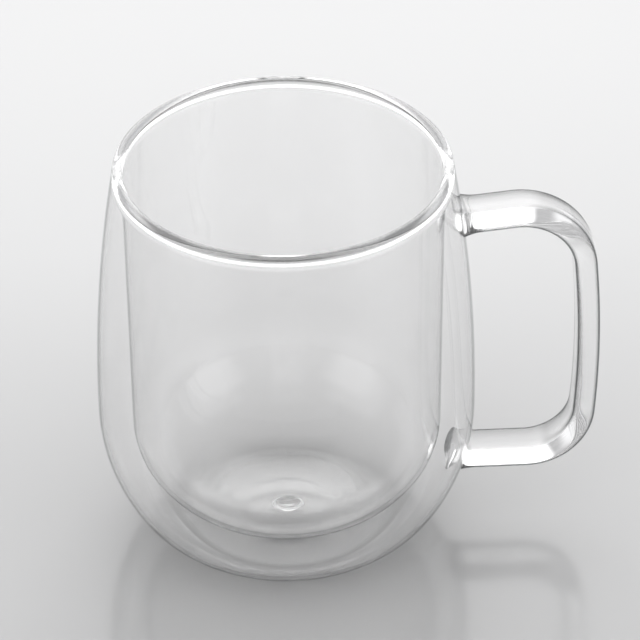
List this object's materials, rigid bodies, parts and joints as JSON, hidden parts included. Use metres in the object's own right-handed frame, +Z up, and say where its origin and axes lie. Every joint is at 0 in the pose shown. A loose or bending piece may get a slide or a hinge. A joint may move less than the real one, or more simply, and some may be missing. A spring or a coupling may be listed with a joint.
{
  "type": "double walled glass cup",
  "caption": "Clear double walled glass cup with a low belly, an air gap between its walls, a melted lip and a bent solid glass handle.",
  "frame": {"origin": "middle of the resting face, on the cup's axis", "axes": "+Z up along the cup's axis, +X towards the handle, +Y across the handle"},
  "size_m": [0.122, 0.092, 0.104],
  "materials": {
    "shell_glass": "clear fire-polished borosilicate glass",
    "bowl_glass": "clear fire-polished borosilicate glass",
    "rim_glass": "clear melted borosilicate glass",
    "handle_glass": "clear drawn borosilicate glass",
    "weld_glass": "clear melted borosilicate glass",
    "seal_glass": "clear melted borosilicate glass"
  },
  "bodies": {
    "root": {"outer_shell": "shell_glass", "inner_bowl": "bowl_glass", "rim_bead": "rim_glass", "handle": "handle_glass", "upper_handle_weld": "weld_glass", "lower_handle_weld": "weld_glass", "vent_seal": "seal_glass"}
  },
  "joints": []
}
